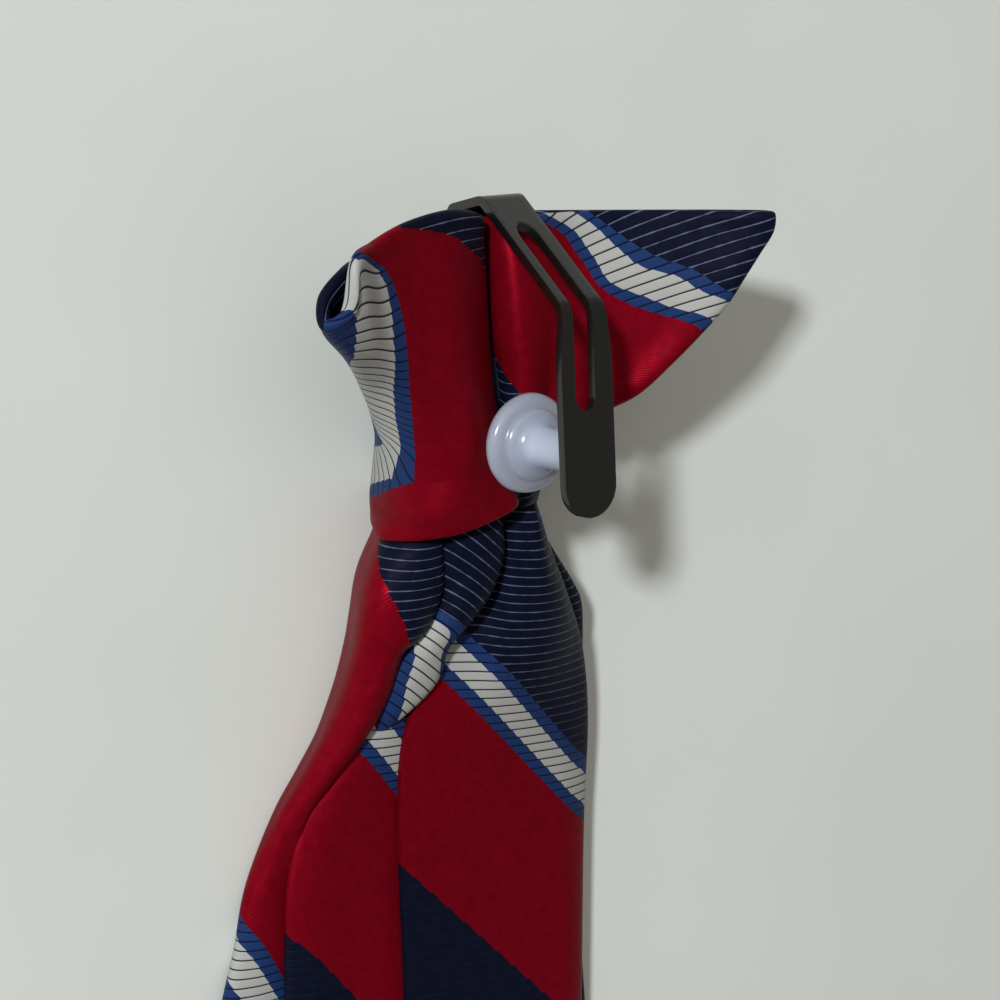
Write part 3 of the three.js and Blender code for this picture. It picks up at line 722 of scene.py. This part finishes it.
rollRows = rowsOf(
    ["leftX", "leftDown", "leftZ", "rightX", "rightDown", "rightZ", "crest", "leftStripe", "rightStripe"],
    [
        [-2.4, 33.0, 13.0, 3.4, 33.0, 13.0, 1.2, -13.0, -20.0],
        [-2.8, 37.5, 13.6, 4.0, 37.5, 14.0, 1.6, -9.0, -16.0],
        [-2.7, 41.0, 13.0, 4.5, 41.0, 13.2, 1.8, -6.0, -11.0],
        [-2.4, 44.6, 12.4, 3.4, 44.3, 12.6, 1.8, -2.0, -7.0],
        [-4.3, 47.9, 11.4, 1.6, 47.7, 11.4, 1.6, 3.0, -1.6],
        [-6.0, 50.7, 10.6, -0.8, 50.4, 10.6, 1.4, 4.8, -0.2],
        [-7.6, 54.7, 9.2, -1.8, 54.6, 9.6, 1.2, 5.2, 1.6],
        [-8.2, 57.8, 8.2, -4.8, 57.6, 8.6, 0.8, 5.7, 3.2],
        [-8.0, 59.6, 7.4, -6.6, 59.2, 7.6, 0.4, 6.0, 4.4],
    ],
)


# Adds the flat run and the point of the tail to the rows of one flap

def flapEnd(rows, names):
    half = (tie["tailRight"] - tie["tailLeft"]) / 2
    made = [dict(row) for row in rows]
    last = rows[-1]
    middle = (tie["tailLeft"] + tie["tailRight"]) / 2
    shoulder = tie["tailTip"] - half
    for share in (0.3, 0.65, 1.0):
        row = dict(last)
        row["down"] = blend(last["down"], shoulder, share)
        made.append(row)
    for share in (0.3, 0.6, 0.85, 0.985):
        row = dict(last)
        row["down"] = blend(shoulder, tie["tailTip"], share)
        for name in names:
            row[name] = blend(last[name], middle, share)
        made.append(row)
    return made


# Stripe places of the next band, which shows at the edge of the bulge by the knot
edgeStripes = {
    33.0: {"top": -1, "slope": 2.5, "edge": 6}, 37.0: {"top": -1, "slope": 2.5, "edge": 6},
    42.0: {"top": -8, "slope": -1.5, "edge": 3},
}


def tailRightControl():
    names = ["seam", "dip", "rise", "top", "slope", "edge", "under"]
    grid = []
    for row in flapEnd(rightRows, [name + "X" for name in names]):
        line = []
        for name in names:
            x, down, z = row[name + "X"], row["down"], row[name + "Z"]
            flat = x if name != "under" else row["edgeX"] + tail["underShift"]
            stripe = (down - flat) * tail["rightStripe"] + tail["rightStart"]
            stripe = edgeStripes.get(down, {}).get(name, stripe)
            line.append((x, down, z, stripe, down - tail["rightRib"] * flat))
        grid.append(line)
    return grid


def tailLeftControl():
    names = ["hide", "near", "mid", "side", "fold", "under"]
    grid = []
    for row in flapEnd(leftRows, [name + "X" for name in names]):
        line = []
        for name in names:
            x, down, z = row[name + "X"], row["down"], row[name + "Z"]
            flat = x if name != "under" else row["foldX"] - tail["underShift"]
            stripe = (down - tail["leftSlope"] * flat) * tail["leftStripe"] + tail["leftStart"]
            line.append((x, down, z, stripe, down - tail["leftRib"] * flat))
        grid.append(line)
    return grid


def tailRollControl():
    # Shares of the way across the roll, and how high each stands over its sides
    profile = ((0.25, -1.4), (0.0, 0.0), (0.22, 0.8), (0.55, 1.0), (0.85, 0.7), (1.0, 0.0), (0.75, -1.4))
    grid = []
    for row in rollRows:
        left = np.array([row["leftX"], row["leftDown"], row["leftZ"], row["leftStripe"]])
        right = np.array([row["rightX"], row["rightDown"], row["rightZ"], row["rightStripe"]])
        line = []
        for share, lift in profile:
            x, down, z, stripe = blend(left, right, share)
            rise = lift * (row["crest"] if lift > 0 else 1)
            line.append((x, down, z + rise, stripe, tail["rollRibDown"] * down - tail["rollRibAcross"] * x))
        grid.append(line)
    return grid


tailRight = clothPiece("tail_right_flap", surface(tailRightControl(), 240, 90), ["tail"], cloth["wall"])
tailLeft = clothPiece("tail_left_flap", surface(tailLeftControl(), 200, 80), ["tail"], cloth["wall"])
tailRoll = clothPiece("tail_roll", surface(tailRollControl(), 80, 60), ["tail"], tail["rollWall"])
print("tail made")


# Clip: a strip bent over the knot, with a slot and a rounded plate

clip = {
    "thick": 0.95, "plate": 6.6, "strap": 5.3, "centre": 0.3, "drop": 32.0, "height": 33.6, "leg": 22.0,
    "slot": 2.5, "slotShift": -0.3, "slotStart": 3.4, "slotEnd": 21.0, "legHeight": 13.6, "lowered": 0.3,
    "bends": (0.9, 1.1, 2.2), "edge": 0.24,
}


# The strip's middle line in down and z, from the hidden leg to the plate's end

def clipLine():
    stops = [
        (clip["leg"], clip["legHeight"]), (2.1, clip["legHeight"]),
        (clip["thick"] / 2 + clip["lowered"], blend(clip["legHeight"], clip["height"], 0.27)),
        (0.335 * clip["drop"], clip["height"] - 1.2), (clip["drop"], clip["height"] + 0.3),
    ]
    line = [np.array(stops[0])]
    for before, corner, after, radius in zip(stops, stops[1:], stops[2:], clip["bends"]):
        corner = np.array(corner)
        back = np.array(before) - corner
        ahead = np.array(after) - corner
        back /= np.linalg.norm(back)
        ahead /= np.linalg.norm(ahead)
        reach = radius / math.tan(math.acos(np.clip(back @ ahead, -1, 1)) / 2)
        for share in np.linspace(0, 1, 9):
            first, last = corner + back * reach, corner + ahead * reach
            line.append((1 - share) ** 2 * first + 2 * share * (1 - share) * corner + share ** 2 * last)
    line.append(np.array(stops[-1]))
    return np.array(line)


# Half widths of the slot and of the strip at a place along it

def clipWidths(down, onPlate):
    plate, strap = clip["plate"] / 2, clip["strap"] / 2
    if not onPlate:
        return 0.0, strap
    share = np.clip((down / clip["drop"] - 0.3) / 0.2, 0, 1)
    width = blend(strap, plate, share)
    toEnd = clip["drop"] - down
    if toEnd < plate:
        width = math.sqrt(max(0, plate ** 2 - (plate - toEnd) ** 2))
    slotRound = clip["slot"] / 2
    inside = min(down - clip["slotStart"], clip["slotEnd"] - down)
    if inside <= 0:
        return 0.0, width
    opening = slotRound if inside >= slotRound else math.sqrt(slotRound ** 2 - (slotRound - inside) ** 2)
    return opening, width


# Rows of the strip in down, z and whether they are past the top bend, close together at the rounded ends

def clipRows():
    line = clipLine()
    lengths = np.concatenate([[0], np.cumsum(np.linalg.norm(np.diff(line, axis=0), axis=1))])
    top = lengths[np.argmin(line[:, 0])]
    slotRound, plate = clip["slot"] / 2, clip["plate"] / 2
    ends = np.interp([clip["slotStart"], clip["slotEnd"], clip["drop"]], line[18:, 0], lengths[18:])
    wanted = {*lengths[:-1], *np.linspace(0, lengths[-1], 40)}
    for turn in np.linspace(0, math.pi / 2, 8):
        wanted.add(ends[0] + slotRound * (1 - math.cos(turn)) * 1.9)
        wanted.add(ends[1] - slotRound * (1 - math.cos(turn)))
        wanted.add(ends[2] - plate * (1 - math.cos(turn)))
    places = np.array(sorted(wanted))
    places = places[np.concatenate([[True], np.diff(places) > 0.02])]
    downs, heights = (np.interp(places, lengths, line[:, i]) for i in (0, 1))
    return list(zip(downs, heights, places > top))


def clipPiece():
    rows = clipRows()
    mesh = bmesh.new()
    for side in (-1, 1):
        half = bmesh.ops.create_grid(mesh, x_segments=4, y_segments=len(rows) - 1, size=1)["verts"]
        for vertex in half:
            share = (vertex.co.x + 1) / 2
            down, z, onPlate = rows[round((vertex.co.y + 1) / 2 * (len(rows) - 1))]
            across = side * blend(*clipWidths(down, onPlate), share) + clip["slotShift"] * (1 - share)
            vertex.co = inSpace(clip["centre"] + across, down, z)
    bmesh.ops.remove_doubles(mesh, verts=mesh.verts, dist=0.00002)
    bmesh.ops.dissolve_degenerate(mesh, edges=mesh.edges, dist=0.00002)
    bmesh.ops.recalc_face_normals(mesh, faces=mesh.faces)
    piece = finished("clip_strip", mesh, ["clip"], blackCoat)
    walled(piece, clip["thick"], even=True)
    rounded(piece, clip["edge"], 3, 50)


clipPiece()
print("clip made")


# Stud: a dished flange with a stepped ring and a waisted hub, turned round its axis

stud = {"radiusShare": 0.965, "shift": 0.15, "turns": 72, "edge": 0.12}
# Shares of the radius and of the height, from the flange's face to the clip
studProfile = [
    (0.0, 0.0), (0.84, 0.0), (0.95, 0.025), (1.0, 0.085), (0.985, 0.14), (0.92, 0.175), (0.80, 0.195),
    (0.735, 0.205), (0.715, 0.225), (0.69, 0.25), (0.58, 0.275), (0.46, 0.31), (0.405, 0.37), (0.39, 0.50),
    (0.39, 0.80), (0.42, 0.93), (0.46, 1.0), (0.0, 1.0),
]


def studPiece():
    radius = stud["radiusShare"] * (studHigh.x - studLow.x) / 2
    height = studHigh.z - studLow.z
    middle = (studLow + studHigh) / 2
    mesh = bmesh.new()
    start = [mesh.verts.new((radius * r, 0, height * h)) for r, h in studProfile]
    edges = [mesh.edges.new(pair) for pair in zip(start, start[1:])]
    bmesh.ops.spin(mesh, geom=start + edges, cent=(0, 0, 0), axis=(0, 0, 1), angle=2 * math.pi,
                   steps=stud["turns"], use_merge=True)
    bmesh.ops.remove_doubles(mesh, verts=mesh.verts, dist=0.000005)
    bmesh.ops.recalc_face_normals(mesh, faces=mesh.faces)
    bmesh.ops.translate(mesh, verts=mesh.verts, vec=(middle.x + stud["shift"] * millimetre, middle.y,
                                                       studLow.z))
    piece = finished("stud", mesh, ["clip_stud"], milkyPlastic)
    rounded(piece, stud["edge"], 2, 40)


studPiece()
print("stud made")

# The core keeps its node, with the lining's finish
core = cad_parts["knot_core"]
core.data.materials.clear()
core.data.materials.append(darkLining)


# Floor, light and camera. The light comes from the upper left, as the photo's shadows say.

floorColours = ((213, 215, 210), (221, 223, 219))
view = {
    "turnDegrees": 37.5, "tiltDegrees": 12.5, "distance": 297.0, "lens": 92.16, "across": 14.8, "down": 38.1,
}


def floorMaterial():
    made, tree, shader = newMaterial("paleFloor")
    tree.links.new(speckles(tree, 30.0, floorColours)[1], shader.inputs["Base Color"])
    shader.inputs["Roughness"].default_value = 0.85
    return made


floorMesh = bmesh.new()
bmesh.ops.create_grid(floorMesh, x_segments=2, y_segments=2, size=3)
floorData = bpy.data.meshes.new("floor")
floorMesh.to_mesh(floorData)
floorMesh.free()
floorData.materials.append(floorMaterial())
floor = bpy.data.objects.new("floor", floorData)
floor.location.z = -0.0002
bpy.context.scene.collection.objects.link(floor)


def areaLight(name, place, target, size, power, colour):
    data = bpy.data.lights.new(name, "AREA")
    data.size = size
    data.energy = power
    data.color = colour
    light = bpy.data.objects.new(name, data)
    light.location = place
    light.rotation_mode = "QUATERNION"
    light.rotation_quaternion = (Vector(place) - Vector(target)).to_track_quat("Z", "Y")
    bpy.context.scene.collection.objects.link(light)


knotPlace = inSpace(0, 20, 10)
areaLight("window", knotPlace + Vector((-0.69, 0.35, 0.63)) * 1.6, knotPlace, 0.11, 22.5, (0.95, 1.0, 1.0))
areaLight("sky", knotPlace + Vector((-0.35, 0.7, 0.9)), knotPlace, 1.1, 3.0, (0.95, 0.98, 1.0))
world = bpy.data.worlds.new("studio")
bpy.context.scene.world = world
bpy.context.scene.view_settings.view_transform = "Standard"
world.use_nodes = True
world.node_tree.nodes["Background"].inputs["Color"].default_value = (1.0, 0.94, 0.82, 1)
world.node_tree.nodes["Background"].inputs["Strength"].default_value = 0.2

turn = math.radians(view["turnDegrees"])
tilt = math.radians(view["tiltDegrees"])
aim = inSpace(view["across"], view["down"], 0)
away = Vector((-math.sin(turn) * math.cos(tilt), math.sin(tilt), math.cos(turn) * math.cos(tilt)))
upward = Vector((math.sin(turn) * math.sin(tilt), math.cos(tilt), -math.cos(turn) * math.sin(tilt)))
sideways = upward.cross(away)
cameraData = bpy.data.cameras.new("camera")
cameraData.sensor_width = 36.0
cameraData.lens = view["lens"]
cameraData.clip_start = 0.01
camera = bpy.data.objects.new("camera", cameraData)
camera.location = aim + away * view["distance"] * millimetre
camera.rotation_mode = "QUATERNION"
camera.rotation_quaternion = Matrix((sideways, upward, away)).transposed().to_quaternion()
bpy.context.scene.collection.objects.link(camera)
bpy.context.scene.camera = camera
print("camera placed")
